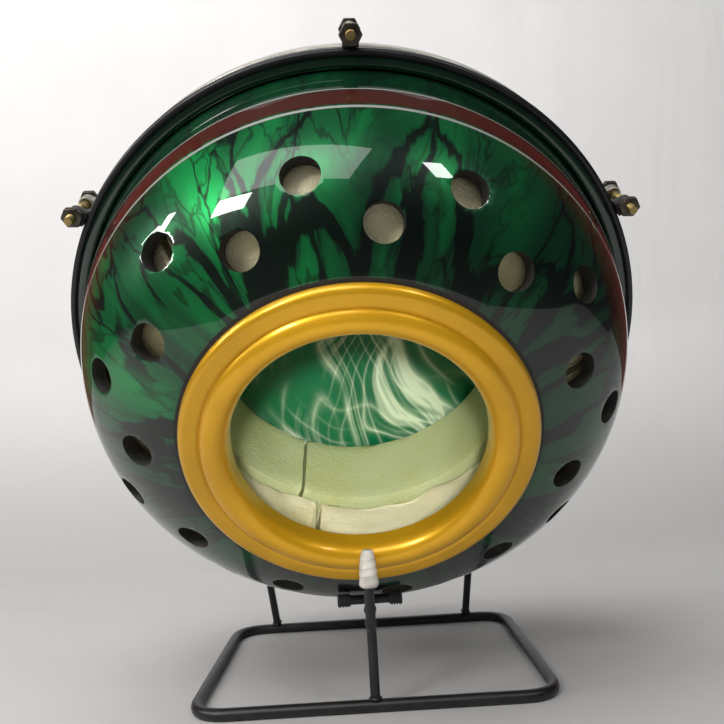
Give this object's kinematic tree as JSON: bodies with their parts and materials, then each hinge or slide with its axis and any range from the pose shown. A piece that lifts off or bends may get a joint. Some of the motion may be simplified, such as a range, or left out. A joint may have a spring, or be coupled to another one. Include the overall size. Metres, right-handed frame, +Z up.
{
  "type": "bass hand drum",
  "caption": "Bass hand drum: lacquered bowl shell with vent holes and a ringed sound hole, bolt-tensioned head, leaning on a low wire stand",
  "frame": {"origin": "on the floor, under the middle of the box round drum and stand", "axes": "+Z up, +X to the right of someone facing the sound hole, +Y from the sound hole side to the head side"},
  "size_m": [0.41, 0.3246, 0.4412],
  "materials": {
    "green_lacquer": "high-gloss clear lacquer over a veined green ground",
    "gold_paint": "metallic gold paint",
    "printed_film": "printed film",
    "plated_steel": "zinc plate",
    "black_coat": "satin black",
    "yellow_zinc": "yellow zinc plate",
    "dark_steel": "darkened steel",
    "band_foam": "open foam, aged",
    "pad_foam": "open foam",
    "black_rubber": "matt",
    "white_tape": "wrapped cloth tape"
  },
  "bodies": {
    "stand": {"base_loop": "black_coat", "front_post": "black_coat", "ring_hook": "black_coat", "hook_cap": "white_tape", "rest_bar": "black_coat", "rest_arm": "black_coat", "rest_tip_left": "black_rubber", "rest_tip_right": "black_rubber", "rear_upright_left": "black_coat", "rear_upright_right": "black_coat", "upright_cap_left": "black_rubber", "upright_cap_right": "black_rubber"},
    "drum": {"drum_bowl": "green_lacquer", "sound_hole_ring": "gold_paint", "drum_head": "printed_film", "flesh_hoop": "plated_steel", "counter_hoop": "plated_steel", "rear_hoop": "black_coat", "foam_wall_band": "band_foam", "foam_pad_1": "pad_foam", "foam_pad_2": "pad_foam", "foam_pad_3": "pad_foam", "rear_lug_1": "black_coat", "front_lug_1": "plated_steel", "tension_bolt_1": "yellow_zinc", "rear_lug_2": "black_coat", "front_lug_2": "plated_steel", "tension_bolt_2": "yellow_zinc", "rear_lug_3": "black_coat", "front_lug_3": "plated_steel", "tension_bolt_3": "yellow_zinc", "rear_lug_4": "black_coat", "front_lug_4": "plated_steel", "tension_bolt_4": "yellow_zinc", "rear_lug_5": "black_coat", "front_lug_5": "plated_steel", "tension_bolt_5": "yellow_zinc", "rear_lug_6": "black_coat", "front_lug_6": "plated_steel", "tension_bolt_6": "yellow_zinc"},
    "nut_1": {"tension_nut_1": "dark_steel"},
    "nut_2": {"tension_nut_2": "dark_steel"},
    "nut_3": {"tension_nut_3": "dark_steel"},
    "nut_4": {"tension_nut_4": "dark_steel"},
    "nut_5": {"tension_nut_5": "dark_steel"},
    "nut_6": {"tension_nut_6": "dark_steel"}
  },
  "joints": [
    {"name": "drum_lift", "type": "slide", "parent": "stand", "child": "drum", "axis": [0, 0, 1], "range_m": [0, 0.15]},
    {"name": "nut_1_turn", "type": "hinge", "parent": "drum", "child": "nut_1", "pos_m": [0.00816, -0.11898, 0.41212], "axis": [0, -0.8181, -0.575], "range_deg": [-180, 720]},
    {"name": "nut_2_turn", "type": "hinge", "parent": "drum", "child": "nut_2", "pos_m": [-0.17982, -0.06199, 0.33103], "axis": [0, -0.8181, -0.575], "range_deg": [-180, 720]},
    {"name": "nut_3_turn", "type": "hinge", "parent": "drum", "child": "nut_3", "pos_m": [-0.18797, 0.0601, 0.15731], "axis": [0, -0.8181, -0.575], "range_deg": [-180, 720]},
    {"name": "nut_4_turn", "type": "hinge", "parent": "drum", "child": "nut_4", "pos_m": [-0.00816, 0.12522, 0.06466], "axis": [0, -0.8181, -0.575], "range_deg": [-180, 720]},
    {"name": "nut_5_turn", "type": "hinge", "parent": "drum", "child": "nut_5", "pos_m": [0.17982, 0.06823, 0.14575], "axis": [0, -0.8181, -0.575], "range_deg": [-180, 720]},
    {"name": "nut_6_turn", "type": "hinge", "parent": "drum", "child": "nut_6", "pos_m": [0.18797, -0.05387, 0.31947], "axis": [0, -0.8181, -0.575], "range_deg": [-180, 720]}
  ]
}
